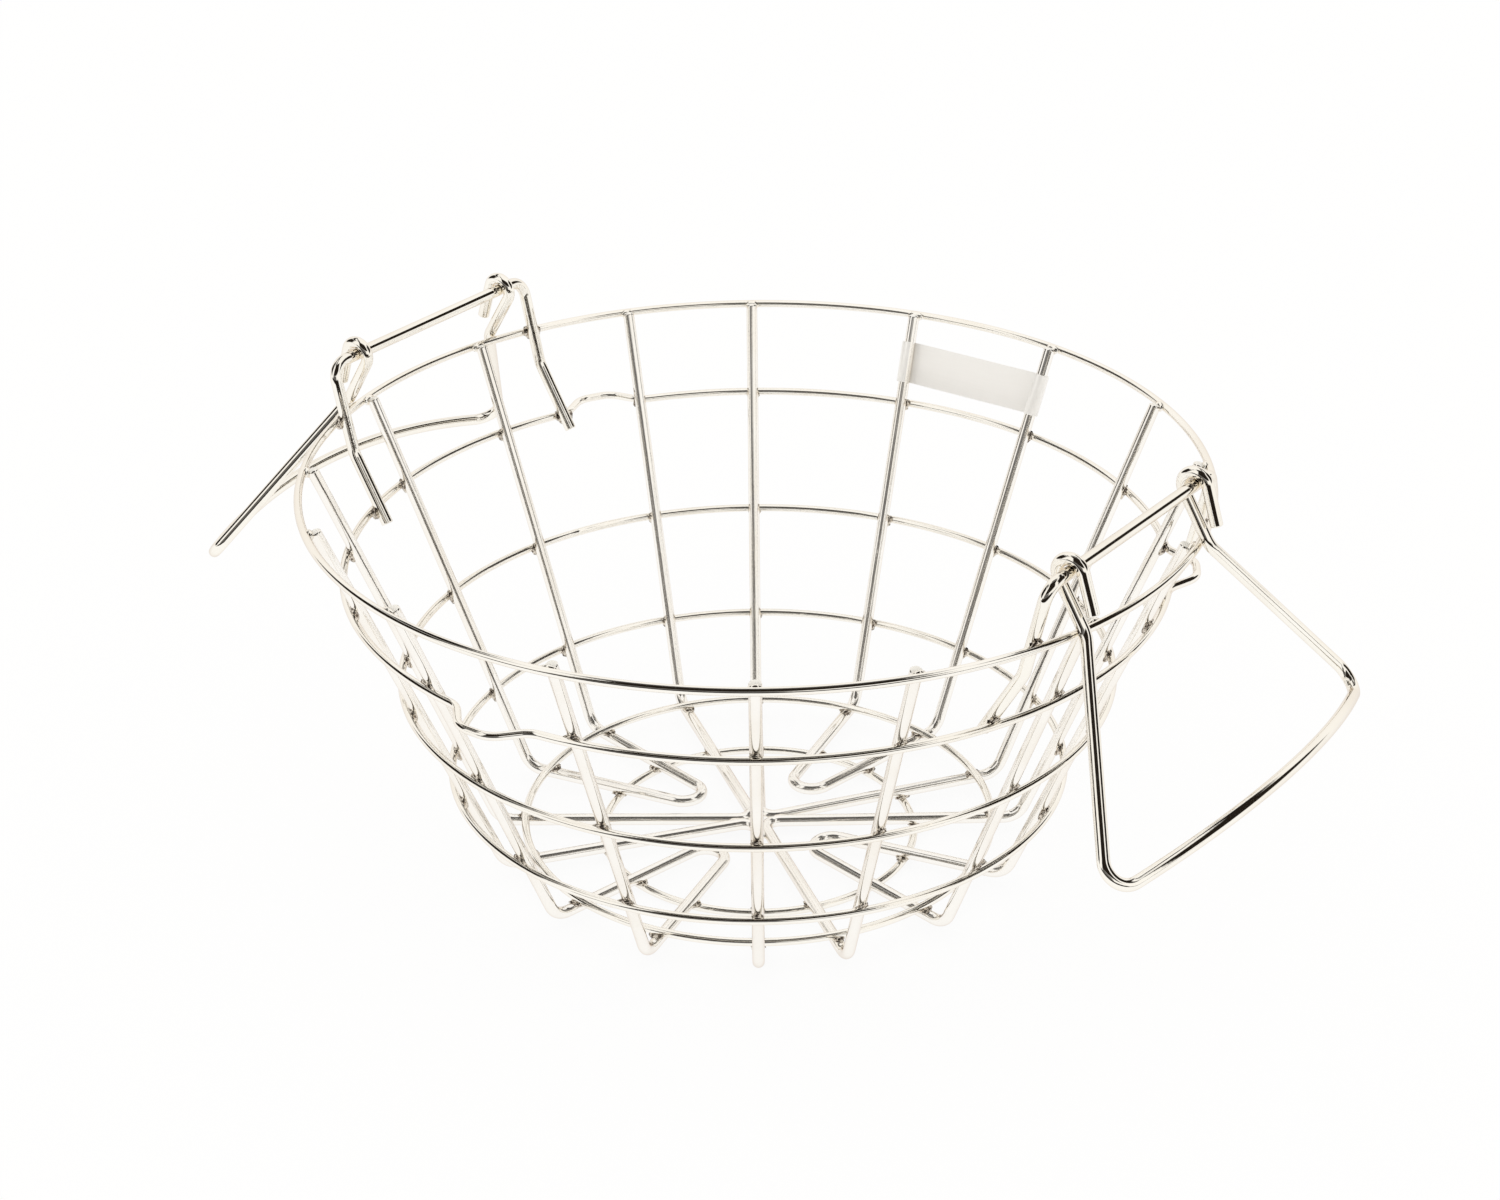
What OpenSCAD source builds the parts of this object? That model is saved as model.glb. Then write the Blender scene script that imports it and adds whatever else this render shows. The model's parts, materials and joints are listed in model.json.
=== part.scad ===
// Round wire basket with two drop handles, standing on its own ring.
// +Z is up and +X points at the right handle; z = 0 is the plane that it stands on.

/* [Wire] */
// Diameter of the wire of the uprights, brackets and handles
heavy_wire = 4.76; // [4:0.01:5.5]
// Diameter of the wire that the rings are rolled from
light_wire = 3.18; // [2.6:0.01:3.8]
// Depth that a welded crossing is pressed together
weld_bite = 0.25; // [0.15:0.05:0.35]

/* [Rings] */
// Diameter of the rim, to the middle of its wire
rim_diameter = 352.4; // [340:0.2:370]
// Height of the rim above the base ring, from middle to middle
rim_height = 154.3; // [145:0.1:165]
// Lean of the wall out from upright
wall_lean = 22.5; // [20:0.1:24]
// Drop from the rim to the lug ring
lug_ring_drop = 35.6; // [30:0.1:40]
// Drop from the rim to the middle ring
middle_ring_drop = 83.1; // [75:0.1:90]
// Drop from the rim to the lower ring
lower_ring_drop = 126; // [115:0.5:130]
// Diameter of the base ring, which lies on the spokes
base_ring_diameter = 191.4; // [170:0.2:194]
// Diameter of the standing ring, which is under the spokes
standing_ring_diameter = 127.8; // [110:0.2:150]

/* [Lugs] */
// Number of lugs bent out of the lug ring
lug_count = 3; // [2:1:4]
// Turn of the first lug from the right handle
lug_turn = 31.1; // [29:0.1:33]
// Reach of a lug out from the ring
lug_reach = 10.3; // [7:0.1:12]
// Width of a lug where it leaves the ring
lug_foot = 34; // [30:0.5:36]
// Width of a lug at its outer edge
lug_top = 14; // [11:0.5:16]
// Radius of the bends in a lug
lug_bend = 10; // [8:0.5:11]

/* [Uprights and floor] */
// Half the angle between the spokes of each hub wire
hub_spread = [36.1, 35.2, 35.2, 36.1]; // [35:0.1:36.4]
// Turn of each hub wire from its even quarter
hub_turn = [1.2, 2, 0.6, 0.5]; // [0.4:0.1:2.2]
// Radius of the bend at the tip of a hub wire
hub_bend = 5.7; // [5:0.1:6.5]
// Half the angle between the spokes of each hairpin wire
hairpin_spread = [12, 11.3, 11.4, 12.1]; // [10.5:0.1:12.5]
// Turn of each hairpin wire from its even quarter
hairpin_turn = [1.2, 1.8, 0.6, 0.7]; // [-1:0.1:3]
// Radius of the bend at the tip of a hairpin wire
hairpin_bend = 7.7; // [6.5:0.1:8.5]
// Radius of the bend at each foot
foot_bend = 9; // [7:0.5:10]
// Height of the uprights' cut ends above the middle of the rim
upright_end = 1.4; // [0.5:0.1:3]

/* [Handle brackets] */
// Length of the hinge bar between the middles of its legs
bracket_length = 116; // [112:0.5:120]
// Height of the hinge bar above the middle of the rim
hinge_rise = 23.5; // [22:0.1:27]
// Lean of the upper legs out from upright
bracket_lean = 13; // [10:0.5:16]
// Drop from the rim to the bend in each leg
dogleg_drop = 13; // [10:0.5:16]
// Radius of the bends at the ends of the hinge bar
bracket_bend = 7; // [6:0.5:9]
// Radius of the bend in each leg
dogleg_bend = 12; // [8:0.5:16]
// Length of each leg past the lug ring
leg_tail = 4.5; // [3:0.5:7]

/* [Drop handles] */
// Distance between the two hooks of a handle
hook_spacing = 87.2; // [84:0.2:90]
// Radius of a hook, to the middle of its wire
hook_bend = 5.3; // [5.2:0.1:6]
// Gap between a hook and the hinge bar that it hangs on
hook_gap = 0.15; // [0.1:0.05:0.3]
// Angle that a hook's tail closes in towards the shank
tail_close = 14; // [8:1:18]
// Length of a hook's tail
tail_length = 16; // [10:0.5:17]
// Length of a shank from the hook to the splay
shank_length = 22.5; // [20:0.5:26]
// Length of a handle from the hook to the corners of its grip
handle_length = 101.6; // [90:0.2:108]
// Width of a handle at the corners of its grip
grip_width = 187.6; // [170:0.2:196]
// Angle that the ends of the grip bow out of the arms' plane
grip_angle = 19.8; // [14:0.2:22]
// Radius of the bend at the splay
splay_bend = 10; // [7:0.5:13]
// Radius of the grip's corners
grip_corner = 8; // [7:0.5:15]
// Gap between a hanging handle and the rim
rest_gap = 0.35; // [0.2:0.05:0.5]

/* [Name plate] */
// Height of the plate
plate_height = 17.5; // [14:0.5:19]
// Distance from the rim down the wall to the plate
plate_drop = 10.5; // [8:0.5:12]
// Thickness of the plate
plate_thickness = 0.9; // [0.7:0.1:1.2]
// Tightness of the plate's rolled edges on their wires
plate_grip = 0.03; // [0.02:0.01:0.05]
// Angle that a rolled edge wraps round its wire
plate_wrap = 215; // [190:5:240]

/* [Hidden] */
$fn = 48;
steel = [0.83, 0.83, 0.82];

// A bend is drawn this much slimmer than its straights and runs this far into them.
bend_thin = 0.02;
bend_lap = 0.2;
// The plate's flat runs this far into its rolled edges.
sheet_lap = 0.25;

// Distance between the middles of two crossing wires, heavy on light.
crossing = (heavy_wire + light_wire) / 2 - weld_bite;

standing_z = light_wire / 2;
spoke_z = standing_z + crossing;
base_z = spoke_z + crossing;
rim_z = base_z + rim_height;
rim_r = rim_diameter / 2;
function wall_r(drop) = rim_r - drop * tan(wall_lean);

// The uprights stand inside the rings and meet the spokes at the foot.
function upright_r(z) = wall_r(rim_z - z) - crossing / cos(wall_lean);
foot_r = upright_r(spoke_z);
upright_z = rim_z + upright_end;

// Neighbouring hub wires are welded side by side where their tips start to bend.
hub_mean = (hub_spread[0] + hub_spread[1] + hub_spread[2] + hub_spread[3]) / 4;
hub_weld_r = hub_bend / tan(hub_mean);
hub_weld_bite = 0.3;
hub_apex = ((heavy_wire - hub_weld_bite) / 2 - hub_weld_r * sin(45 - hub_mean)) / sin(45);

// The bracket's legs touch the rim and the lug ring from inside.
leg_y = bracket_length / 2;
function inside_x(r, lean) = sqrt(pow(r - crossing / cos(lean), 2) - leg_y * leg_y);
leg_rim_x = inside_x(rim_r, bracket_lean);
hinge_x = leg_rim_x + hinge_rise * tan(bracket_lean);
hinge_z = rim_z + hinge_rise;
dogleg_x = leg_rim_x - dogleg_drop * tan(bracket_lean);
lug_ring_r = wall_r(lug_ring_drop);
low_run = lug_ring_drop - dogleg_drop;
low_lean = atan2(dogleg_x - inside_x(lug_ring_r, 2 * bracket_lean), low_run);
leg_lug_x = inside_x(lug_ring_r, low_lean);
leg_slope = (dogleg_x - leg_lug_x) / low_run;
leg_end_x = leg_lug_x - leg_tail * leg_slope;
leg_end_z = rim_z - lug_ring_drop - leg_tail;

// A handle hangs on the hinge bar and leans on the rim: its lean follows from the two.
hook_y = hook_spacing / 2;
grip_y = grip_width / 2;
hook_sag = hook_bend - heavy_wire - hook_gap;
eye_z = hinge_z - hook_sag;
lean_x = sqrt(rim_r * rim_r - hook_y * hook_y) - hinge_x;
lean_z = eye_z - rim_z;
lean_off = hook_bend + (heavy_wire + light_wire) / 2 + rest_gap;
handle_lean = asin(lean_off / norm([lean_x, lean_z])) + atan2(lean_x, lean_z);
// Down the handle, and out of its plane.
handle_down = [sin(handle_lean), 0, -cos(handle_lean)];
handle_out = [cos(handle_lean), 0, sin(handle_lean)];
function on_handle(y, down, out) =
  [hinge_x, y, eye_z] + handle_down * down + handle_out * (out - hook_bend);
// The grip fills the space between its corners with one long bend.
splay_angle = atan2(grip_y - hook_y, handle_length - shank_length);
corner_turn = 180 - acos(sin(splay_angle) * cos(grip_angle));
corner_reach = grip_corner * tan(corner_turn / 2);
grip_straight = 2;
grip_bow = (grip_y / cos(grip_angle) - corner_reach - grip_straight) / tan(grip_angle);

// Vectors and frames
function unit(v) = v / norm(v);
function polar(r, a, z) = [r * cos(a), r * sin(a), z];
function frame(o, x, y, z) = [for (i = [0:2]) [x[i], y[i], z[i], o[i]]];
function side(v) = unit(cross(v, abs(v[2]) < 0.9 ? [0, 0, 1] : [1, 0, 0]));

// Straight wire between two points
module straight(from, to, d) {
  z = unit(to - from);
  x = side(z);
  multmatrix(frame(from, x, cross(z, x), z))
    cylinder(h = norm(to - from), d = d);
}

// Round bend about a centre, starting along one arm and travelling towards the other
module bend(centre, arm, travel, radius, turn, d) {
  lap = bend_lap / radius * 180 / PI;
  multmatrix(frame(centre, arm, travel, cross(arm, travel)))
    rotate([0, 0, -lap])
      rotate_extrude(angle = turn + 2 * lap)
        translate([radius, 0])
          circle(d = d - 2 * bend_thin);
}

function turn_at(p, i) = acos(unit(p[i] - p[i - 1]) * unit(p[i + 1] - p[i]));
function reach_at(p, bends, i) =
  (i == 0 || i == len(p) - 1) ? 0 : bends[i] * tan(turn_at(p, i) / 2);

// Wire bent at each inner point of a path, with one bend radius per point
module wire(p, bends, d) {
  for (i = [0 : len(p) - 2]) {
    along = unit(p[i + 1] - p[i]);
    straight(p[i] + along * reach_at(p, bends, i), p[i + 1] - along * reach_at(p, bends, i + 1), d);
  }
  for (i = [1 : len(p) - 2]) {
    before = unit(p[i] - p[i - 1]);
    after = unit(p[i + 1] - p[i]);
    inward = unit(after - before * (before * after));
    centre = p[i] - before * reach_at(p, bends, i) + inward * bends[i];
    bend(centre, -inward, before, bends[i], turn_at(p, i), d);
  }
}

// Plain ring
module ring(r, z) {
  color(steel)
    translate([0, 0, z])
      rotate_extrude($fn = 180)
        translate([r, 0])
          circle(d = light_wire);
}

module rim_ring() {
  ring(rim_r, rim_z);
}

module middle_ring() {
  ring(wall_r(middle_ring_drop), rim_z - middle_ring_drop);
}

module lower_ring() {
  ring(wall_r(lower_ring_drop), rim_z - lower_ring_drop);
}

module base_ring() {
  ring(base_ring_diameter / 2, base_z);
}

module standing_ring() {
  ring(standing_ring_diameter / 2, standing_z);
}

// Ring with lugs: arcs of the ring joined by wire bent out and back
module lug_ring() {
  run_in = 6;
  half = asin(lug_foot / 2 / lug_ring_r) + run_in / lug_ring_r * 180 / PI;
  tangent = [-sin(half), cos(half), 0];
  start = polar(lug_ring_r, half, 0);
  foot = start - tangent * run_in;
  top_x = lug_ring_r + lug_reach;
  side_path = [start, foot, [top_x, lug_top / 2, 0]];
  path = concat(side_path, [for (i = [2:-1:0]) [side_path[i][0], -side_path[i][1], 0]]);
  bends = [0, lug_bend, lug_bend, lug_bend, lug_bend, 0];
  step = 360 / lug_count;
  color(steel)
    translate([0, 0, rim_z - lug_ring_drop])
      for (i = [0 : lug_count - 1])
        rotate([0, 0, lug_turn + i * step]) {
          wire(path, bends, light_wire);
          bend([0, 0, 0], unit(start), tangent, lug_ring_r, step - 2 * half, light_wire, $fn = 180);
        }
}

// Upright, foot, spoke, tip, spoke, foot and upright, bent from one wire
module floor_wire(turn, spread, apex, tip_bend) {
  ends = [turn - spread, turn + spread];
  path = [
    polar(upright_r(upright_z), ends[0], upright_z),
    polar(foot_r, ends[0], spoke_z),
    polar(apex, turn, spoke_z),
    polar(foot_r, ends[1], spoke_z),
    polar(upright_r(upright_z), ends[1], upright_z)
  ];
  color(steel)
    wire(path, [0, foot_bend, tip_bend, foot_bend, 0], heavy_wire);
}

module hub_wire(quarter) {
  floor_wire(90 * quarter + hub_turn[quarter], hub_spread[quarter], hub_apex, hub_bend);
}

module hairpin_wire(quarter) {
  floor_wire(90 * quarter + hairpin_turn[quarter], hairpin_spread[quarter], 0, hairpin_bend);
}

// Hinge bar and its two legs, on the +X side
module bracket() {
  half = [
    [leg_end_x, leg_y, leg_end_z],
    [dogleg_x, leg_y, rim_z - dogleg_drop],
    [hinge_x, leg_y, hinge_z]
  ];
  path = concat(half, [for (i = [2:-1:0]) [half[i][0], -half[i][1], half[i][2]]]);
  bends = [0, dogleg_bend, bracket_bend, bracket_bend, dogleg_bend, 0];
  color(steel)
    wire(path, bends, heavy_wire);
}

// Hook over the hinge bar, with its tail
module hook(y) {
  turn = 180 + tail_close;
  up = -handle_down;
  arm = -handle_out;
  eye = [hinge_x, y, eye_z];
  tail_from = eye + (arm * cos(turn) + up * sin(turn)) * hook_bend;
  tail_way = up * cos(turn) - arm * sin(turn);
  bend(eye, arm, up, hook_bend, turn, heavy_wire);
  straight(tail_from, tail_from + tail_way * tail_length, heavy_wire);
}

// Drop handle on the +X side, hanging on its hinge bar
module drop_handle() {
  half = [
    on_handle(hook_y, 0, 0),
    on_handle(hook_y, shank_length, 0),
    on_handle(grip_y, handle_length, 0)
  ];
  peak = on_handle(0, handle_length, grip_y * tan(grip_angle));
  path = concat(half, [peak], [for (i = [2:-1:0]) [half[i][0], -half[i][1], half[i][2]]]);
  bends = [0, splay_bend, grip_corner, grip_bow, grip_corner, splay_bend, 0];
  color(steel) {
    wire(path, bends, heavy_wire, $fn = 96);
    hook(hook_y);
    hook(-hook_y);
  }
}

// Plate across the back hairpin's uprights, with its edges rolled round them
module name_plate() {
  quarter = 1;
  turn = 90 * quarter + hairpin_turn[quarter];
  spread = hairpin_spread[quarter];
  legs = [for (s = [-1, 1]) polar(sin(wall_lean), turn + s * spread, cos(wall_lean))];
  up = unit(legs[0] + legs[1]);
  across = unit(legs[1] - legs[0]);
  inward = cross(across, up);
  taper = acos(up * legs[0]);
  mid_z = rim_z - (plate_drop + plate_height / 2) * cos(wall_lean);
  half_w = upright_r(mid_z) * sin(spread);
  middle = polar(upright_r(mid_z) * cos(spread), turn, mid_z);
  bore_r = heavy_wire / 2 - plate_grip;
  half_h = plate_height / 2;
  skew = half_h * tan(taper);
  edge = half_w + sheet_lap;
  color(steel)
    multmatrix(frame(middle, across, up, inward)) {
      translate([0, 0, bore_r + bend_thin])
        linear_extrude(plate_thickness - 2 * bend_thin)
          polygon([[edge + skew, half_h], [-edge - skew, half_h],
            [-edge + skew, -half_h], [edge - skew, -half_h]]);
      for (s = [0, 1])
        mirror([s, 0, 0])
          translate([half_w, 0, 0])
            rotate([0, 0, -taper])
              rotate([-90, 0, 0])
                translate([0, 0, -half_h])
                  rotate([0, 0, -90])
                    rotate_extrude(angle = plate_wrap)
                      translate([bore_r, 0])
                        square([plate_thickness, plate_height]);
    }
}

module other_side() {
  rotate([0, 0, 180])
    children();
}

rim_ring();
lug_ring();
middle_ring();
lower_ring();
base_ring();
standing_ring();
hub_wire(0);  // hub_wire_right
hub_wire(1);  // hub_wire_back
hub_wire(2);  // hub_wire_left
hub_wire(3);  // hub_wire_front
hairpin_wire(0);  // hairpin_wire_right
hairpin_wire(1);  // hairpin_wire_back
hairpin_wire(2);  // hairpin_wire_left
hairpin_wire(3);  // hairpin_wire_front
bracket();  // right_bracket
other_side() bracket();  // left_bracket
drop_handle();  // right_handle
other_side() drop_handle();  // left_handle
name_plate();
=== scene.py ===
import json
from math import acos, asin, atan2, ceil, cos, pi, radians, sin, sqrt, tan

import bpy
from mathutils import Matrix, Vector

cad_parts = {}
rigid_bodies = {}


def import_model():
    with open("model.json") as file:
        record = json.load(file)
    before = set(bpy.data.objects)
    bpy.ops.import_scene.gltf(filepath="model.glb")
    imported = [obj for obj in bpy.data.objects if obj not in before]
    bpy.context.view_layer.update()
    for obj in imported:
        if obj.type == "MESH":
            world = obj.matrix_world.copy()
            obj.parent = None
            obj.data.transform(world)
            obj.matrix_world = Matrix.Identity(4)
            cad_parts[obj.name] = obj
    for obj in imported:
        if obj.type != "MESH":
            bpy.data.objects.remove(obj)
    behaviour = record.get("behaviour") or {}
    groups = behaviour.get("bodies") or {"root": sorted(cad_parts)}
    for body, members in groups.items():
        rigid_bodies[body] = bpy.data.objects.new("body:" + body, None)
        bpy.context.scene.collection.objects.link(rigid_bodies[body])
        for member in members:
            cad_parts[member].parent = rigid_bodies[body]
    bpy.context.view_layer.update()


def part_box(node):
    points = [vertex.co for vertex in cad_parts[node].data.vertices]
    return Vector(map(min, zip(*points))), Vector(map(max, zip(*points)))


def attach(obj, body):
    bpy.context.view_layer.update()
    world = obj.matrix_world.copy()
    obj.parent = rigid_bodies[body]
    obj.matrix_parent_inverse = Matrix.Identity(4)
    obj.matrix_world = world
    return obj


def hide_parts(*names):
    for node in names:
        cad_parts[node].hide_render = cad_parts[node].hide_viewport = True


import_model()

# Hub wires and hairpin wires: heavy steel wire bent cold, each into two uprights and two spokes.
# Four wide ones meet at the hub, four narrow ones turn back short of it. The rings are welded on,
# and then all is bright plated, which takes least on faces turned inwards and leaves them milky.


class Value:
    """A shader socket. Arithmetic on it adds Math nodes, and node() adds any other kind."""

    def __init__(self, tree, socket):
        self.tree = tree
        self.socket = socket

    def node(self, kind, settings, sockets, out=0):
        made = self.tree.nodes.new("ShaderNode" + kind)
        for name, setting in settings.items():
            setattr(made, name, setting)
        for name, given in sockets.items():
            if isinstance(given, Value):
                self.tree.links.new(given.socket, made.inputs[name])
            else:
                made.inputs[name].default_value = given
        return Value(self.tree, made.outputs[out])

    def math(self, operation, first, second):
        return self.node("Math", {"operation": operation}, {0: first, 1: second})

    def __add__(self, other):
        return self.math("ADD", self, other)

    def __radd__(self, other):
        return self.math("ADD", other, self)

    def __sub__(self, other):
        return self.math("SUBTRACT", self, other)

    def __rsub__(self, other):
        return self.math("SUBTRACT", other, self)

    def __mul__(self, other):
        return self.math("MULTIPLY", self, other)

    def __rmul__(self, other):
        return self.math("MULTIPLY", other, self)

    def __abs__(self):
        return self.math("ABSOLUTE", self, 0)

    def step(self, low, high):
        """Rises smoothly from 0 at low to 1 at high."""
        ends = {"Value": self, "From Min": low, "From Max": high}
        return self.node("MapRange", {"interpolation_type": "SMOOTHSTEP"}, ends)

    def mix(self, first, second):
        """The first colour where this is 0 and the second where it is 1."""
        return self.node("Mix", {"data_type": "RGBA"}, {0: self, 6: first, 7: second}, out=2)

    def noise(self, scale, detail=2.0):
        """Cloudy value from 0 to 1 at this place; scale is in clouds per metre."""
        sockets = {"Vector": self, "Scale": scale, "Detail": detail}
        return self.node("TexNoise", {}, sockets)

    def dot(self, way):
        """How far this reaches along a way."""
        return self.node("VectorMath", {"operation": "DOT_PRODUCT"}, {0: self, 1: way}, out="Value")

    def bump(self, strength, distance):
        """The way a surface faces with this as its relief."""
        sockets = {"Height": self, "Strength": strength, "Distance": distance}
        return self.node("Bump", {}, sockets)


def new_metal(name):
    """A bare metal material, its shader, and the place on the piece."""
    material = bpy.data.materials.new(name)
    material.use_nodes = True
    shader = material.node_tree.nodes["Principled BSDF"]
    shader.inputs["Metallic"].default_value = 1.0
    start = Value(material.node_tree, None)
    return material, shader, start.node("TexCoord", {}, {}, out="Object")


def feed(shader, socket, value):
    value.tree.links.new(value.socket, shader.inputs[socket])


basket_middle = (0, 0, 0.12)
glancing_tint = (0.85, 0.8, 0.76, 1)


def bright_plating(name, pale, cloudy, milky):
    """Plating with clouds, specks and the wire's ripple, the clouds painted fainter near the floor
    as painted light. Milky is how dull its inward faces are.
    """
    material, shader, place = new_metal(name)
    shader.inputs["Specular Tint"].default_value = glancing_tint
    clouds = place.noise(34, detail=3.0).step(0.34, 0.7)
    specks = place.noise(420).step(0.62, 0.74)
    ripple = place.noise(80, detail=1.0) + 0.15 * place.noise(700)
    facing = place.node("TexCoord", {}, {}, out="Normal")
    to_middle = place.node("VectorMath", {"operation": "SUBTRACT"}, {0: basket_middle, 1: place})
    to_middle = place.node("VectorMath", {"operation": "NORMALIZE"}, {0: to_middle})
    inward = facing.dot(to_middle)
    height = place.node("SeparateXYZ", {}, {"Vector": place}, out="Z")
    dull = milky * inward.step(-0.1, 0.55) * (1.5 - 0.5 * height.step(0.015, 0.05))
    # The clouds and specks are the plating's own tone. Fading them out on the wires near the floor
    # is painted light, a painted brightening of those wires.
    clouds_and_painted_floor_light = (0.4 + 0.6 * height.step(0.01, 0.04)) * (0.75 * clouds + 0.25 * specks)
    feed(shader, "Base Color", clouds_and_painted_floor_light.mix(pale, cloudy))
    feed(shader, "Metallic", 1 - dull)
    feed(shader, "Roughness", 0.03 + 0.03 * clouds + 0.06 * specks + 0.2 * dull)
    feed(shader, "Normal", ripple.bump(0.04, distance=0.002))
    return material


upright_plating = bright_plating(
    "upright_plating", pale=(0.985, 0.96, 0.915, 1), cloudy=(0.945, 0.90, 0.825, 1), milky=0.08)


def sheared_end():
    """The cut end of a wire: the plating is thin there and the shear left it rough."""
    material, shader, place = new_metal("sheared_end")
    grain = place.noise(900, detail=3.0)
    feed(shader, "Base Color", grain.mix((0.90, 0.87, 0.80, 1), (0.98, 0.96, 0.91, 1)))
    feed(shader, "Roughness", 0.35 + 0.2 * grain)
    feed(shader, "Metallic", 0.3 * grain)
    feed(shader, "Normal", grain.bump(0.4, distance=0.0003))
    return material


cut_metal = sheared_end()

heavy_wire = 0.00476
quarters = ["right", "back", "left", "front"]
# Half the spread of each quarter's wire, and its turn from the quarter's middle, in degrees.
hub_spread = [36.1, 35.2, 35.2, 36.1]
hub_turn = [1.2, 2.0, 0.6, 0.5]
hub_bend = 0.0057
hairpin_spread = [12.0, 11.3, 11.4, 12.1]
hairpin_turn = [1.2, 1.8, 0.6, 0.7]
hairpin_bend = 0.0077
foot_bend = 0.009
upright_end = 0.0014
hub_weld_bite = 0.0003
# Inset and rise of each step of an upright's rounded end.
melted_end = [(0.00035, 0.00045), (0.0007, 0.0004), (0.0008, 0.00015)]


def ring_middle(node):
    """Radius and height of the middle of a plain ring's wire, and the wire's thickness."""
    low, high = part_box(node)
    wire = high.z - low.z
    return (high.x - low.x - wire) / 2, (low.z + high.z) / 2, wire


rim_radius, rim_z, light_wire = ring_middle("rim_ring")
lower_radius, lower_z = ring_middle("lower_ring")[:2]
base_radius, base_z = ring_middle("base_ring")[:2]
standing_radius, standing_z = ring_middle("standing_ring")[:2]
wall_lean = atan2(rim_radius - lower_radius, rim_z - lower_z)
spoke_z = (base_z + standing_z) / 2
crossing = base_z - spoke_z


def wall_radius(z):
    """Radius of the rings' middles at a height."""
    return rim_radius - (rim_z - z) * tan(wall_lean)


def upright_radius(z):
    """Radius of the uprights' middles at a height: they stand inside the rings."""
    return wall_radius(z) - crossing / cos(wall_lean)


def polar(radius, angle, z):
    """The point at a radius, an angle in degrees and a height."""
    return Vector((radius * cos(radians(angle)), radius * sin(radians(angle)), z))


def start_wire(name, place, way, thickness):
    """A circle of the wire's thickness at its first end, left open in edit mode."""
    sides = 32
    bpy.ops.object.select_all(action="DESELECT")
    facing = way.to_track_quat("Z", "Y").to_euler()
    bpy.ops.mesh.primitive_circle_add(
        vertices=sides, radius=thickness / 2, location=place, rotation=facing)
    bpy.ops.object.transform_apply(location=True, rotation=True, scale=True)
    wire = bpy.context.object
    wire.name = name
    wire.data.name = name
    bpy.ops.object.mode_set(mode="EDIT")
    return wire


def run_straight(way):
    """Run the open end straight on. A loop close to each end keeps the run's shading straight."""
    guard_length = 0.0003
    guard = way.normalized() * min(guard_length, way.length / 4)
    for step in [guard, way - 2 * guard, guard]:
        bpy.ops.mesh.extrude_region_move(TRANSFORM_OT_translate={"value": step})


def bend_round(centre, axis, angle, radius):
    """Turn the wire's open end about an axis. Spin turns clockwise, so its angle is negative."""
    widest_step = radians(8)
    longest_step = 0.004
    steps = ceil(max(angle / widest_step, angle * radius / longest_step))
    bpy.ops.mesh.spin(steps=steps, angle=-angle, center=centre, axis=axis)


def follow(corners, bends):
    """Run the open end along a path and bend it at each inner corner, with one radius for each."""
    at = corners[0]
    for before, corner, after, radius in zip(corners, corners[1:], corners[2:], bends):
        into = (corner - before).normalized()
        out = (after - corner).normalized()
        turn = into.angle(out)
        reach = radius * tan(turn / 2)
        inward = (out - into * into.dot(out)).normalized()
        bend_from = corner - into * reach
        run_straight(bend_from - at)
        bend_round(bend_from + inward * radius, into.cross(inward), turn, radius)
        at = corner + out * reach
    run_straight(corners[-1] - at)


def finish_wire(wire, plating, end_steps):
    """Close the two ends, round each in steps of inset and rise, and give the wire its finish."""
    bpy.ops.mesh.select_all(action="SELECT")
    bpy.ops.mesh.fill_holes(sides=0)
    bpy.ops.mesh.select_all(action="SELECT")
    bpy.ops.mesh.normals_make_consistent(inside=False)
    bpy.ops.mesh.select_mode(type="FACE")
    bpy.ops.mesh.select_all(action="DESELECT")
    bpy.ops.mesh.select_face_by_sides(number=4, type="GREATER", extend=False)
    for inset, rise in end_steps:
        bpy.ops.mesh.inset(thickness=inset, depth=rise, use_individual=True)
    for step in end_steps[1:]:
        bpy.ops.mesh.select_more()
    wire.data.materials.append(plating)
    wire.data.materials.append(cut_metal)
    wire.active_material_index = 1
    bpy.ops.object.material_slot_assign()
    bpy.ops.mesh.select_mode(type="VERT")
    bpy.ops.object.mode_set(mode="OBJECT")
    bpy.ops.object.shade_smooth_by_angle(angle=radians(50))


def bend_wire(name, corners, bends, thickness, plating, end_steps):
    """A wire bent along a path from end to end, with its rounded ends inside that length."""
    first_way = (corners[1] - corners[0]).normalized()
    last_way = (corners[-1] - corners[-2]).normalized()
    end_height = sum(rise for inset, rise in end_steps)
    corners = list(corners)
    corners[0] = corners[0] + first_way * end_height
    corners[-1] = corners[-1] - last_way * end_height
    wire = start_wire(name, corners[0], first_way, thickness)
    follow(corners, bends)
    finish_wire(wire, plating, end_steps)
    return wire


foot_radius = upright_radius(spoke_z)
upright_z = rim_z + upright_end
hub_mean = radians(sum(hub_spread) / len(hub_spread))
hub_weld_radius = hub_bend / tan(hub_mean)
hub_gap = (heavy_wire - hub_weld_bite) / 2 - hub_weld_radius * sin(pi / 4 - hub_mean)
hub_apex = hub_gap / sin(pi / 4)
upright_angles = []
for quarter, side in enumerate(quarters):
    for kind, spread, turn, apex, tip_bend in [
        ("hub", hub_spread[quarter], hub_turn[quarter], hub_apex, hub_bend),
        ("hairpin", hairpin_spread[quarter], hairpin_turn[quarter], 0, hairpin_bend),
    ]:
        middle = 90 * quarter + turn
        leg = [(upright_radius(upright_z), upright_z), (foot_radius, spoke_z)]
        corners = [polar(radius, middle - spread, z) for radius, z in leg]
        corners += [polar(apex, middle, spoke_z)]
        corners += [polar(radius, middle + spread, z) for radius, z in reversed(leg)]
        bends = [foot_bend, tip_bend, foot_bend]
        name = f"{kind}_bent_{side}"
        wire = bend_wire(name, corners, bends, heavy_wire, upright_plating, melted_end)
        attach(wire, "basket")
        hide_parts(f"{kind}_wire_{side}")
        upright_angles += [middle - spread, middle + spread]

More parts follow.
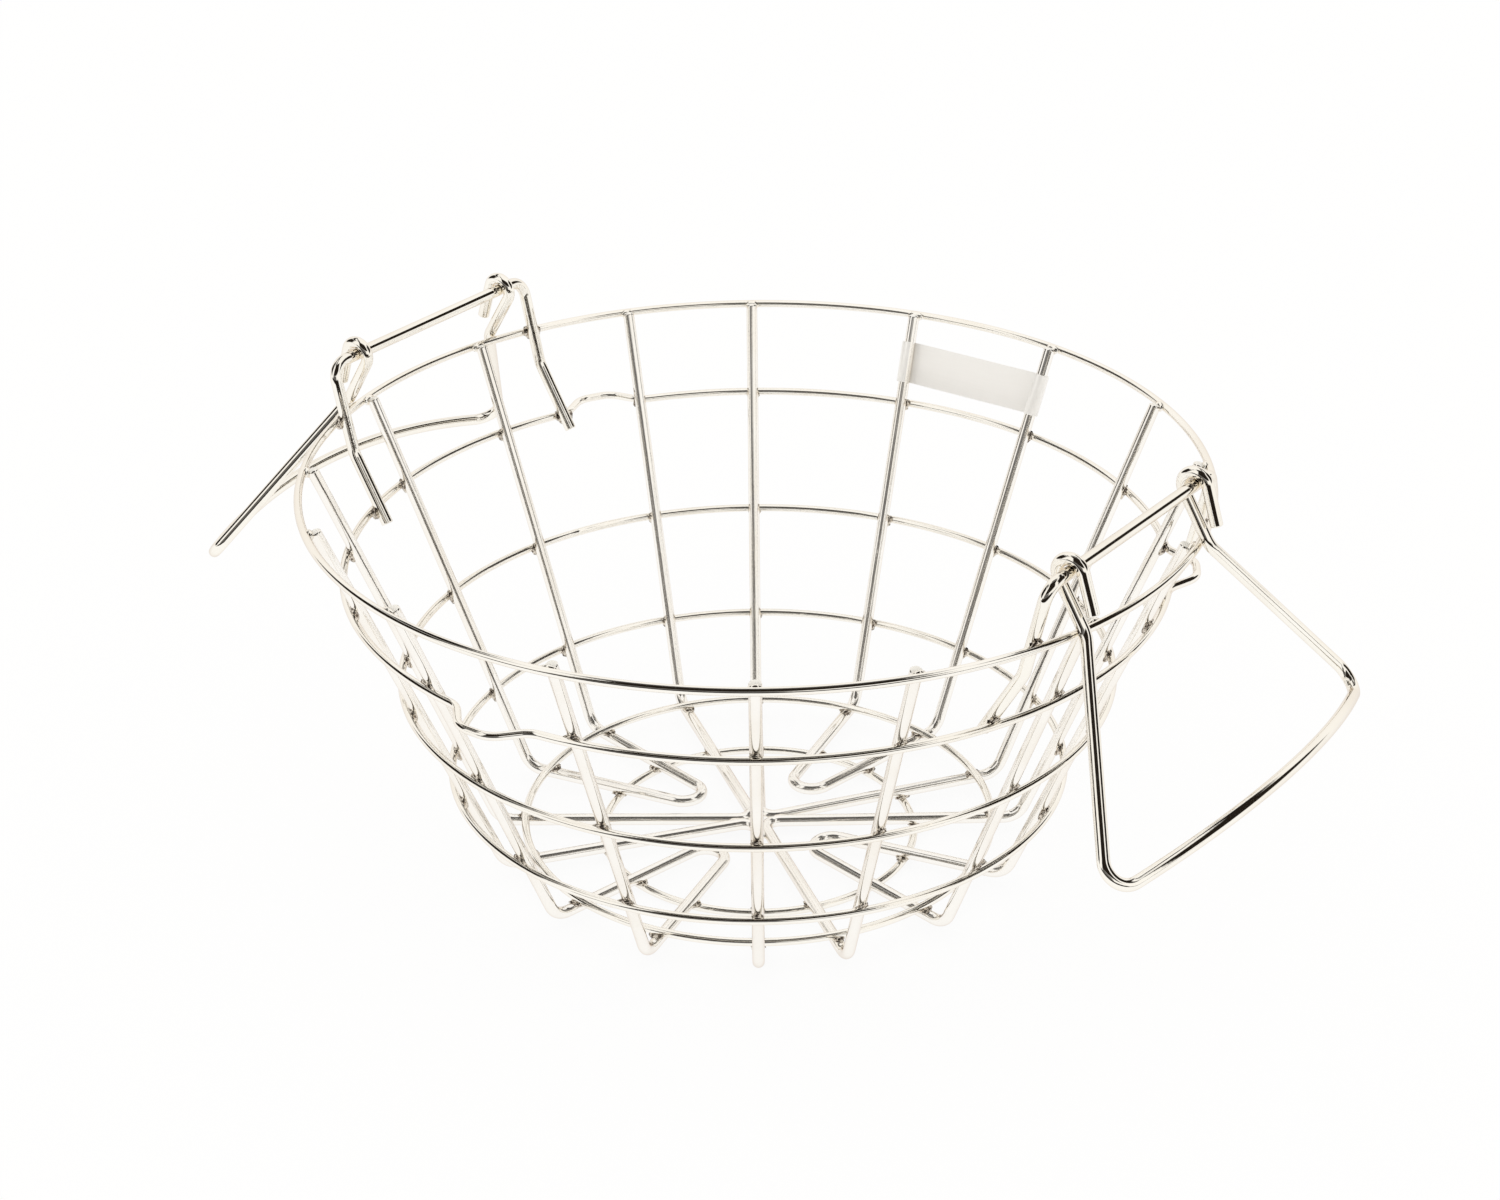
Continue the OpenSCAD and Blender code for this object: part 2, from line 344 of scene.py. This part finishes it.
# Plain rings: light wire rolled round and butt welded. The seam stays as a shallow groove.
# Three are welded outside the uprights, one lies on the spokes, and the basket stands on the last.
seam_groove = 0.94
seam_half = 0.0006
merge_distance = 0.00002
upward = (0, 0, 1)
ring_plating = bright_plating(
    "ring_plating", pale=(0.985, 0.955, 0.89, 1), cloudy=(0.95, 0.905, 0.82, 1), milky=0.06)


def close_ring(wire):
    """Join the two ends of a rolled wire and give it its finish."""
    bpy.ops.mesh.select_all(action="SELECT")
    bpy.ops.mesh.remove_doubles(threshold=merge_distance)
    bpy.ops.mesh.normals_make_consistent(inside=False)
    bpy.ops.object.mode_set(mode="OBJECT")
    wire.data.materials.append(ring_plating)
    bpy.ops.object.shade_smooth_by_angle(angle=radians(60))


def plain_ring(name, node, seam_angle):
    """A ring rolled from just past its seam, narrowed at the seam and closed."""
    radius, z, wire_thickness = ring_middle(node)
    half = seam_half / radius
    middle = (0, 0, z)
    seam = polar(radius, seam_angle, z)
    start = Matrix.Rotation(half, 3, "Z") @ seam
    along = Vector((-start.y, start.x, 0)).normalized()
    wire = start_wire(name, start, along, wire_thickness)
    bend_round(middle, upward, 2 * pi - 2 * half, radius)
    bend_round(middle, upward, half, radius)
    bpy.ops.transform.resize(value=[seam_groove] * 3, center_override=seam)
    bend_round(middle, upward, half, radius)
    bpy.ops.transform.resize(value=[1 / seam_groove] * 3, center_override=start)
    close_ring(wire)
    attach(wire, "basket")
    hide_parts(node)


plain_ring("rim_rolled", "rim_ring", 205)
plain_ring("middle_rolled", "middle_ring", 160)
plain_ring("lower_rolled", "lower_ring", 70)
plain_ring("base_rolled", "base_ring", 20)
plain_ring("standing_rolled", "standing_ring", 245)

# Lug ring: the ring below the rim, of the same light wire, with three lugs bent out on formers.
# It is welded outside the uprights, and the brackets' legs are welded inside it.
lug_count = 3
lug_turn = 31.1
lug_reach = 0.0103
lug_foot = 0.034
lug_top = 0.014
lug_bend = 0.010
lug_run_in = 0.006
low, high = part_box("lug_ring")
lug_z = (low.z + high.z) / 2
lug_radius = wall_radius(lug_z)
lug_half = asin(lug_foot / 2 / lug_radius) + lug_run_in / lug_radius
ring_start = Vector((lug_radius * cos(lug_half), lug_radius * sin(lug_half), 0))
ring_tangent = Vector((-sin(lug_half), cos(lug_half), 0))
lug_corner = Vector((lug_radius + lug_reach, lug_top / 2, 0))
lug_side = [ring_start, ring_start - ring_tangent * lug_run_in, lug_corner]
lug_path = [Vector((point.x, -point.y, 0)) for point in lug_side] + list(reversed(lug_side))


def on_lug_ring(point, turn):
    """A point of the lug's path, turned to its place round the ring and raised to its height."""
    return Matrix.Rotation(turn, 3, "Z") @ point + Vector((0, 0, lug_z))


first_turn = radians(lug_turn)
lug_step = 2 * pi / lug_count
run_in_start, run_in_end = [on_lug_ring(point, first_turn) for point in lug_path[:2]]
wire = start_wire("lug_ring_rolled", run_in_start, run_in_end - run_in_start, light_wire)
for lug in range(lug_count):
    turn = first_turn + lug * lug_step
    follow([on_lug_ring(point, turn) for point in lug_path], [lug_bend] * 4)
    bend_round((0, 0, lug_z), upward, lug_step - 2 * lug_half, lug_radius)
close_ring(wire)
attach(wire, "basket")
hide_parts("lug_ring")

# Hinge brackets: heavy wire bent into a bar above the rim and two doglegged legs.
# The legs are welded inside the rim and the lug ring.
bracket_length = 0.116
hinge_rise = 0.0235
bracket_lean = radians(13)
dogleg_drop = 0.013
bracket_bend = 0.007
dogleg_bend = 0.012
leg_tail = 0.0045
sheared_edge = [(0.0003, 0.0003)]
leg_y = bracket_length / 2
bracket_plating = bright_plating(
    "bracket_plating", pale=(0.98, 0.95, 0.88, 1), cloudy=(0.93, 0.885, 0.80, 1), milky=0.0)


def inside_x(radius, lean):
    """How far out a leg stands where it touches the inside of a ring."""
    return sqrt((radius - crossing / cos(lean)) ** 2 - leg_y ** 2)


leg_rim_x = inside_x(rim_radius, bracket_lean)
hinge_x = leg_rim_x + hinge_rise * tan(bracket_lean)
hinge_z = rim_z + hinge_rise
dogleg_x = leg_rim_x - dogleg_drop * tan(bracket_lean)
low_run = rim_z - lug_z - dogleg_drop
low_lean = atan2(dogleg_x - inside_x(lug_radius, 2 * bracket_lean), low_run)
leg_lug_x = inside_x(lug_radius, low_lean)
leg_slope = (dogleg_x - leg_lug_x) / low_run


def there_and_back(half, middle=()):
    """A path that runs to the middle and back on the other side of the XZ plane."""
    back = [Vector((point.x, -point.y, point.z)) for point in reversed(half)]
    return list(half) + list(middle) + back


def turned(points, side):
    """The path for the right side, or turned half round for the left."""
    if side == "right":
        return points
    return [Vector((-point.x, -point.y, point.z)) for point in points]


leg = [
    Vector((leg_lug_x - leg_tail * leg_slope, leg_y, lug_z - leg_tail)),
    Vector((dogleg_x, leg_y, rim_z - dogleg_drop)),
    Vector((hinge_x, leg_y, hinge_z)),
]
for side in ["right", "left"]:
    corners = turned(there_and_back(leg), side)
    bends = [dogleg_bend, bracket_bend, bracket_bend, dogleg_bend]
    name = f"{side}_bent_bracket"
    wire = bend_wire(name, corners, bends, heavy_wire, bracket_plating, sheared_edge)
    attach(wire, "basket")
    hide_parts(f"{side}_bracket")

# Weld beads: metal squeezed out where two wires were pressed together hot, lumpy and plated over.
# One sits where a ring crosses an upright, a spoke or a bracket's leg, and four join the hub.
# Those of the uprights at the rim and of the hub are smooth, because hands and eggs touch them.
bead_half = (0.0031, 0.0034, 0.0014)
bead_lumps = 0.15
rim_bead_half = (0.0034, 0.0021, 0.0014)
rim_bead_lumps = 0.05
leg_bead_half = (0.0040, 0.0032, 0.0014)
hub_bead_half = (0.0050, 0.0024, 0.0017)
least_swell = 0.88
swell_step = 0.08


def weld_plating():
    material, shader, place = new_metal("weld_plating")
    lumps = place.noise(600, detail=3.0)
    scale = place.noise(900).step(0.42, 0.66)
    feed(shader, "Base Color", scale.mix((0.74, 0.68, 0.59, 1), (0.18, 0.14, 0.11, 1)))
    feed(shader, "Roughness", 0.06 + 0.18 * scale)
    feed(shader, "Normal", lumps.bump(0.3, distance=0.0006))
    return material


def first_bead(lumps, finish):
    """An uneven ball one metre in radius, to be copied at each weld and then deleted."""
    bpy.ops.object.select_all(action="DESELECT")
    bpy.ops.mesh.primitive_ico_sphere_add(subdivisions=2, radius=1)
    bead = bpy.context.object
    bead.data.materials.append(finish)
    bpy.ops.object.mode_set(mode="EDIT")
    bpy.ops.transform.vertex_random(offset=lumps, uniform=1, normal=0.5, seed=4)
    bpy.ops.object.mode_set(mode="OBJECT")
    bpy.ops.object.shade_smooth()
    return bead


def weld_bead(first, number, place, first_way, other_way, half):
    """A copy of a bead between two wires that run these ways, turned over or round. Half holds
    its half sizes along the first wire, across it and out from both."""
    bead = first.copy()
    bead.data = first.data.copy()
    bpy.context.scene.collection.objects.link(bead)
    facing = first_way.cross(other_way).normalized()
    side_way = facing.cross(first_way).normalized()
    flips = (1 - 2 * (number % 2), 1 - 2 * (number // 2 % 2))
    swell = least_swell + swell_step * (number * 5 % 4)
    sizes = (half[0] * flips[0] * swell, half[1] * flips[1], half[2] * flips[0] * flips[1])
    stand = Matrix((first_way.normalized(), side_way, facing)).transposed().to_4x4()
    stand.translation = place
    bead.matrix_world = stand @ Matrix.Diagonal((*sizes, 1))
    return bead


def join_beads(name, beads):
    """Make one piece of a ring's beads and fix it to the basket."""
    bpy.ops.object.select_all(action="DESELECT")
    for bead in beads:
        bead.select_set(True)
    bpy.context.view_layer.objects.active = beads[0]
    bpy.ops.object.transform_apply(location=True, rotation=True, scale=True)
    bpy.ops.object.join()
    bpy.ops.object.mode_set(mode="EDIT")
    bpy.ops.mesh.select_all(action="SELECT")
    bpy.ops.mesh.normals_make_consistent(inside=False)
    bpy.ops.object.mode_set(mode="OBJECT")
    welds = bpy.context.object
    welds.name = name
    welds.data.name = name
    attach(welds, "basket")


def round_ring(angle):
    """The way a ring runs at an angle in degrees."""
    return Vector((-sin(radians(angle)), cos(radians(angle)), 0))


def leg_beads(z, leg_x, lean):
    """The four beads where the brackets' legs cross a ring at this height."""
    beads = []
    for side in ["right", "left"]:
        for y in (leg_y, -leg_y):
            outward = Vector((leg_x, y, 0)).normalized()
            place = Vector((leg_x, y, z)) + outward * heavy_wire / 2
            ring_way = Vector((-outward.y, outward.x, 0))
            leg_way = Vector((sin(lean), 0, cos(lean)))
            ways = turned([place, ring_way, leg_way], side)
            beads.append(weld_bead(lumpy_bead, len(beads), *ways, leg_bead_half))
    return beads


lumpy_bead = first_bead(bead_lumps, weld_plating())
smooth_bead = first_bead(rim_bead_lumps, ring_plating)
middle_z = ring_middle("middle_ring")[1]
contact = light_wire / 2 / cos(wall_lean)
for name, z, bead, half in [
    ("rim_welds", rim_z, smooth_bead, rim_bead_half),
    ("lug_ring_welds", lug_z, lumpy_bead, bead_half),
    ("middle_welds", middle_z, lumpy_bead, bead_half),
    ("lower_welds", lower_z, lumpy_bead, bead_half),
]:
    beads = []
    for number, angle in enumerate(upright_angles):
        up_way = polar(sin(wall_lean), angle, cos(wall_lean))
        place = polar(wall_radius(z) - contact, angle, z)
        beads.append(weld_bead(bead, number, place, round_ring(angle), up_way, half))
    if name == "rim_welds":
        beads += leg_beads(z, leg_rim_x, bracket_lean)
    if name == "lug_ring_welds":
        beads += leg_beads(z, leg_lug_x, low_lean)
    join_beads(name, beads)
for name, radius, z in [
    ("base_welds", base_radius, base_z - light_wire / 2),
    ("standing_welds", standing_radius, standing_z + light_wire / 2),
]:
    beads = []
    for number, angle in enumerate(upright_angles):
        place = polar(radius, angle, z)
        spoke_way = polar(1, angle, 0)
        beads.append(weld_bead(lumpy_bead, number, place, round_ring(angle), spoke_way, bead_half))
    join_beads(name, beads)
beads = []
hub_bead_radius = hub_apex * cos(pi / 4) + hub_weld_radius * cos(pi / 4 - hub_mean)
for quarter in range(len(quarters)):
    angle = 45 + 90 * quarter + sum(hub_turn) / len(hub_turn)
    place = polar(hub_bead_radius, angle, spoke_z)
    outward = polar(1, angle, 0)
    beads.append(weld_bead(smooth_bead, quarter, place, outward, round_ring(angle), hub_bead_half))
join_beads("hub_welds", beads)
bpy.data.objects.remove(lumpy_bead)
bpy.data.objects.remove(smooth_bead)

# Drop handles: heavy wire with a hook at each end, splayed arms and a bowed grip.
# Each hangs by its hooks on a hinge bar, and swings.
hook_spacing = 0.0872
hook_bend = 0.0053
hook_gap = 0.00015
hook_turn = radians(194)
tail_length = 0.016
shank_length = 0.0225
handle_length = 0.1016
grip_width = 0.1876
grip_angle = radians(19.8)
splay_bend = 0.010
grip_corner = 0.008
grip_straight = 0.002
rest_gap = 0.00035
hook_y = hook_spacing / 2
grip_y = grip_width / 2
handle_plating = bright_plating(
    "handle_plating", pale=(0.985, 0.955, 0.885, 1), cloudy=(0.94, 0.895, 0.81, 1), milky=0.0)
eye_z = hinge_z - (hook_bend - heavy_wire - hook_gap)
lean_x = sqrt(rim_radius ** 2 - hook_y ** 2) - hinge_x
lean_z = eye_z - rim_z
lean_off = hook_bend + (heavy_wire + light_wire) / 2 + rest_gap
handle_lean = asin(lean_off / sqrt(lean_x ** 2 + lean_z ** 2)) + atan2(lean_x, lean_z)
handle_down = Vector((sin(handle_lean), 0, -cos(handle_lean)))
handle_out = Vector((cos(handle_lean), 0, sin(handle_lean)))
splay_angle = atan2(grip_y - hook_y, handle_length - shank_length)
corner_turn = pi - acos(sin(splay_angle) * cos(grip_angle))
corner_reach = grip_corner * tan(corner_turn / 2)
grip_bow = (grip_y / cos(grip_angle) - corner_reach - grip_straight) / tan(grip_angle)


def on_handle(y, down, out):
    """A point of the right handle at rest, down its arms and out from their plane."""
    return Vector((hinge_x, y, eye_z)) + handle_down * down + handle_out * (out - hook_bend)


arm = [
    on_handle(hook_y, 0, 0),
    on_handle(hook_y, shank_length, 0),
    on_handle(grip_y, handle_length, 0),
]
peak = on_handle(0, handle_length, grip_y * tan(grip_angle))
hook_end = -handle_out * cos(hook_turn) - handle_down * sin(hook_turn)
tail_way = -handle_down * cos(hook_turn) + handle_out * sin(hook_turn)
eyes = there_and_back([Vector((hinge_x, hook_y, eye_z))])
grip_bends = [splay_bend, grip_corner, grip_bow, grip_corner, splay_bend]
for side in ["right", "left"]:
    near_eye, far_eye = turned(eyes, side)
    tail, hook_axis, hook_foot = turned([tail_way, Vector((0, 1, 0)), hook_end], side)
    near_foot = near_eye + hook_foot * hook_bend
    run = tail * (tail_length - sheared_edge[0][1])
    wire = start_wire(f"{side}_bent_handle", near_foot + run, -tail, heavy_wire)
    run_straight(-run)
    bend_round(near_eye, -hook_axis, hook_turn, hook_bend)
    follow(turned(there_and_back(arm, [peak]), side), grip_bends)
    bend_round(far_eye, hook_axis, hook_turn, hook_bend)
    run_straight(run)
    finish_wire(wire, handle_plating, sheared_edge)
    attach(wire, f"{side}_handle")
    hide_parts(f"{side}_handle")

# Name plate: thin sheet steel across the back hairpin's uprights, bare on both faces.
# Its two edges are rolled tight round the wires, which is all that holds it.
plate_height = 0.0175
plate_drop = 0.0105
plate_thickness = 0.0009
plate_wrap = radians(215)
plate_edge_break = 0.00015
plate_quarter = quarters.index("back")
brush_marks = (60, 60, 2600)


def plate_steel():
    material, shader, place = new_metal("plate_steel")
    grain = place.node("Mapping", {}, {"Vector": place, "Scale": brush_marks}).noise(1, detail=4.0)
    clouds = place.noise(70, detail=3.0)
    streaks = 0.5 * grain + 0.5 * clouds
    feed(shader, "Base Color", streaks.mix((0.985, 0.97, 0.94, 1), (0.93, 0.91, 0.875, 1)))
    feed(shader, "Roughness", 0.26 + 0.12 * grain)
    feed(shader, "Metallic", 0.1 + 0.12 * grain)
    feed(shader, "Normal", grain.bump(0.08, distance=0.0004))
    return material


plate_middle = 90 * plate_quarter + hairpin_turn[plate_quarter]
plate_spread = hairpin_spread[plate_quarter]
legs = [polar(sin(wall_lean), plate_middle + way * plate_spread, cos(wall_lean)) for way in (-1, 1)]
plate_up = (legs[0] + legs[1]).normalized()
plate_across = (legs[1] - legs[0]).normalized()
plate_inward = plate_across.cross(plate_up)
plate_taper = acos(plate_up.dot(legs[0]))
plate_z = rim_z - (plate_drop + plate_height / 2) * cos(wall_lean)
half_width = upright_radius(plate_z) * sin(radians(plate_spread))
plate_place = polar(upright_radius(plate_z) * cos(radians(plate_spread)), plate_middle, plate_z)
sheet_offset = heavy_wire / 2 + plate_thickness / 2
half_height = plate_height / 2
narrowing = half_height * tan(plate_taper)

bpy.ops.object.select_all(action="DESELECT")
bpy.ops.mesh.primitive_plane_add(size=1, location=(0, 0, sheet_offset))
plate = bpy.context.object
plate.name = "rolled_plate"
plate.data.name = "rolled_plate"
plate.scale = (2 * half_width, plate_height, 1)
bpy.ops.object.transform_apply(location=True, rotation=True, scale=True)
bpy.ops.object.mode_set(mode="EDIT")


def pick_corners(piece, wanted):
    """Select the corners of a piece whose place passes a test."""
    bpy.ops.mesh.select_all(action="DESELECT")
    bpy.ops.object.mode_set(mode="OBJECT")
    for corner in piece.data.vertices:
        corner.select = wanted(corner.co)
    bpy.ops.object.mode_set(mode="EDIT")


for way in (-1, 1):
    pick_corners(plate, lambda place: place.y * way > 0)
    stretch = (half_width + way * narrowing) / half_width
    edge_middle = (0, way * half_height, sheet_offset)
    bpy.ops.transform.resize(value=(stretch, 1, 1), center_override=edge_middle)
for way in (-1, 1):
    pick_corners(plate, lambda place: place.x * way > 0)
    wire_way = Vector((way * sin(plate_taper), cos(plate_taper), 0))
    bend_round((way * half_width, 0, 0), way * wire_way, plate_wrap, sheet_offset)
bpy.ops.mesh.select_all(action="SELECT")
bpy.ops.mesh.remove_doubles(threshold=merge_distance)
bpy.ops.mesh.normals_make_consistent(inside=False)
bpy.ops.object.mode_set(mode="OBJECT")
thicken = plate.modifiers.new("sheet", "SOLIDIFY")
thicken.thickness = plate_thickness
thicken.offset = 0
bpy.ops.object.modifier_apply(modifier="sheet")
soften = plate.modifiers.new("edge", "BEVEL")
soften.width = plate_edge_break
soften.segments = 2
soften.limit_method = "ANGLE"
bpy.ops.object.modifier_apply(modifier="edge")
stand = Matrix((plate_across, plate_up, plate_inward)).transposed().to_4x4()
stand.translation = plate_place
plate.matrix_world = stand
bpy.ops.object.transform_apply(location=True, rotation=True, scale=True)
plate.data.materials.append(plate_steel())
bpy.ops.object.shade_smooth_by_angle(angle=radians(35))
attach(plate, "basket")
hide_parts("name_plate")

# Floor: a white sweep on a table. It looks as white as the tent and keeps the basket's shadow.
# Only bright metal sees where the table ends in front, and the dark room beyond.
floor_size = 12
floor_glow = 0.88
floor_white = (1.0, 0.995, 0.985, 1)
lit_white = (1, 1, 1, 1)
dark_room = (0.016, 0.012, 0.009, 1)
studio_turn = radians(37)
table_ahead = Vector((sin(studio_turn), -cos(studio_turn), 0))
table_front = 0.7
table_edge_soft = 0.15
bpy.ops.object.select_all(action="DESELECT")
bpy.ops.mesh.primitive_plane_add(size=floor_size)
floor = bpy.context.object
floor.name = "floor"
floor_paint = bpy.data.materials.new("floor_paint")
floor_paint.use_nodes = True
tree = floor_paint.node_tree
paint = tree.nodes["Principled BSDF"]
paint.inputs["Base Color"].default_value = floor_white
paint.inputs["Roughness"].default_value = 0.9
paint.inputs["Specular IOR Level"].default_value = 0
start = Value(tree, None)
glossy = start.node("LightPath", {}, {}, out="Is Glossy Ray")
seen = glossy + start.node("LightPath", {}, {}, out="Is Camera Ray")
seen = seen + start.node("LightPath", {}, {}, out="Is Transmission Ray")
place = start.node("TexCoord", {}, {}, out="Object")
beyond = glossy * place.dot(table_ahead).step(table_front, table_front + table_edge_soft)
shade = beyond.mix(lit_white, dark_room)
glow = start.node("Emission", {}, {"Color": shade, "Strength": 1})
share = floor_glow * seen + (1 - floor_glow) * beyond
sweep = start.node("MixShader", {}, {0: share, 1: Value(tree, paint.outputs[0]), 2: glow})
tree.links.new(sweep.socket, tree.nodes["Material Output"].inputs["Surface"])
floor.data.materials.append(floor_paint)

# Overhead cloth: a strip as white as the tent, stretched over the far half of the basket.
# Only bright metal sees it. It casts no shadow and all else looks through it.
cloth_size = (0.44, 0.66, 1)
cloth_behind = 0.27
cloth_z = 0.55
tent_white = (1.0, 0.985, 0.96, 1)
bpy.ops.object.select_all(action="DESELECT")
bpy.ops.mesh.primitive_plane_add(size=1)
cloth = bpy.context.object
cloth.name = "overhead_cloth"
cloth.scale = cloth_size
cloth.rotation_euler.z = studio_turn
cloth.location = Vector((0, 0, cloth_z)) - table_ahead * cloth_behind
bpy.ops.object.transform_apply(location=True, rotation=True, scale=True)
cloth_paint = bpy.data.materials.new("cloth_paint")
cloth_paint.use_nodes = True
tree = cloth_paint.node_tree
start = Value(tree, None)
glossy = start.node("LightPath", {}, {}, out="Is Glossy Ray")
clear = start.node("BsdfTransparent", {}, {})
white = start.node("Emission", {}, {"Color": tent_white, "Strength": 1})
shade = start.node("MixShader", {}, {0: glossy, 1: clear, 2: white})
tree.links.new(shade.socket, tree.nodes["Material Output"].inputs["Surface"])
cloth.data.materials.append(cloth_paint)

# Camera: as for the photograph, about 27 degrees up and 37 degrees round from the basket's front.
# Its place, aim and focal length come from the six rings.
camera_drop = 0.475479
camera_roll = -0.00986
camera_place = (0.6332, -0.8447, 0.6508)
focal_pixels = 2994.23
image_width = 1500
sensor_width = 36
camera_data = bpy.data.cameras.new("camera")
camera_data.sensor_width = sensor_width
camera_data.lens = focal_pixels / image_width * sensor_width
camera = bpy.data.objects.new("camera", camera_data)
camera.matrix_world = (
    Matrix.Translation(camera_place)
    @ Matrix.Rotation(studio_turn, 4, "Z")
    @ Matrix.Rotation(pi / 2 - camera_drop, 4, "X")
    @ Matrix.Rotation(camera_roll, 4, "Z")
)
bpy.context.scene.collection.objects.link(camera)
bpy.context.scene.camera = camera

# Light: a white tent with openings in front, at its two sides, along its top and high at the back.
# Only bright metal sees the dark room through them, and all else is lit evenly.
# Angles are in degrees, round from the table's front and up from the floor.
edge_soft = 3
side_soft = 0.04
front_skew = 0.08
flap_share = 0.9
world = bpy.data.worlds.new("tent")
world.use_nodes = True
bpy.context.scene.world = world
tree = world.node_tree
start = Value(tree, None)
way = start.node("TexCoord", {}, {}, out="Generated")


def over(value, low):
    """1 over an angle in degrees and 0 under it, with a soft edge."""
    return value.step(radians(low - edge_soft), radians(low + edge_soft))


def between(value, low, high):
    """1 between two angles in degrees, with soft edges."""
    return over(value, low) * (1 - over(value, high))


def between_sides(value, half):
    """1 as far as this to either side, with soft edges."""
    return 1 - abs(value).step(half - side_soft, half + side_soft)


toward = way.dot(table_ahead)
across = way.dot((cos(studio_turn), sin(studio_turn), 0))
above = way.dot(upward)
turn = across.math("ARCTAN2", across, toward)
rise = above.math("ARCSINE", above, 0)
front_half = toward.step(-0.2, 0.1)
front_opening = between(turn, -46, 48) * over(rise - front_skew * turn, 23) * (1 - over(rise, 59))
front_flap = flap_share * between(turn, -50, 8) * between(rise, 6, 21)
top_opening = between_sides(across, 0.42) * over(rise, 55) * front_half
far_opening = between_sides(across, 0.3) * over(rise, 59) * (1 - front_half)
far_gap = between(rise, 42, 56) * (1 - toward.step(-0.1, 0.25))
right_opening = between(turn, 70, 124) * between(rise, 10, 54)
left_opening = between(turn, -126, -80) * between(rise, 5, 40)
low_opening = between(turn, -66, 42) * between(rise, -12, 7)
openings = [front_opening, front_flap, top_opening, far_opening]
openings += [far_gap, right_opening, left_opening, low_opening]
closed = 1
for opening in openings:
    closed = closed * (1 - opening)
glossy = start.node("LightPath", {}, {}, out="Is Glossy Ray")
sky = ((1 - closed) * glossy).mix(tent_white, dark_room)
background = tree.nodes["Background"]
tree.links.new(sky.socket, background.inputs["Color"])
background.inputs["Strength"].default_value = 1.0
bpy.context.scene.view_settings.view_transform = "Standard"
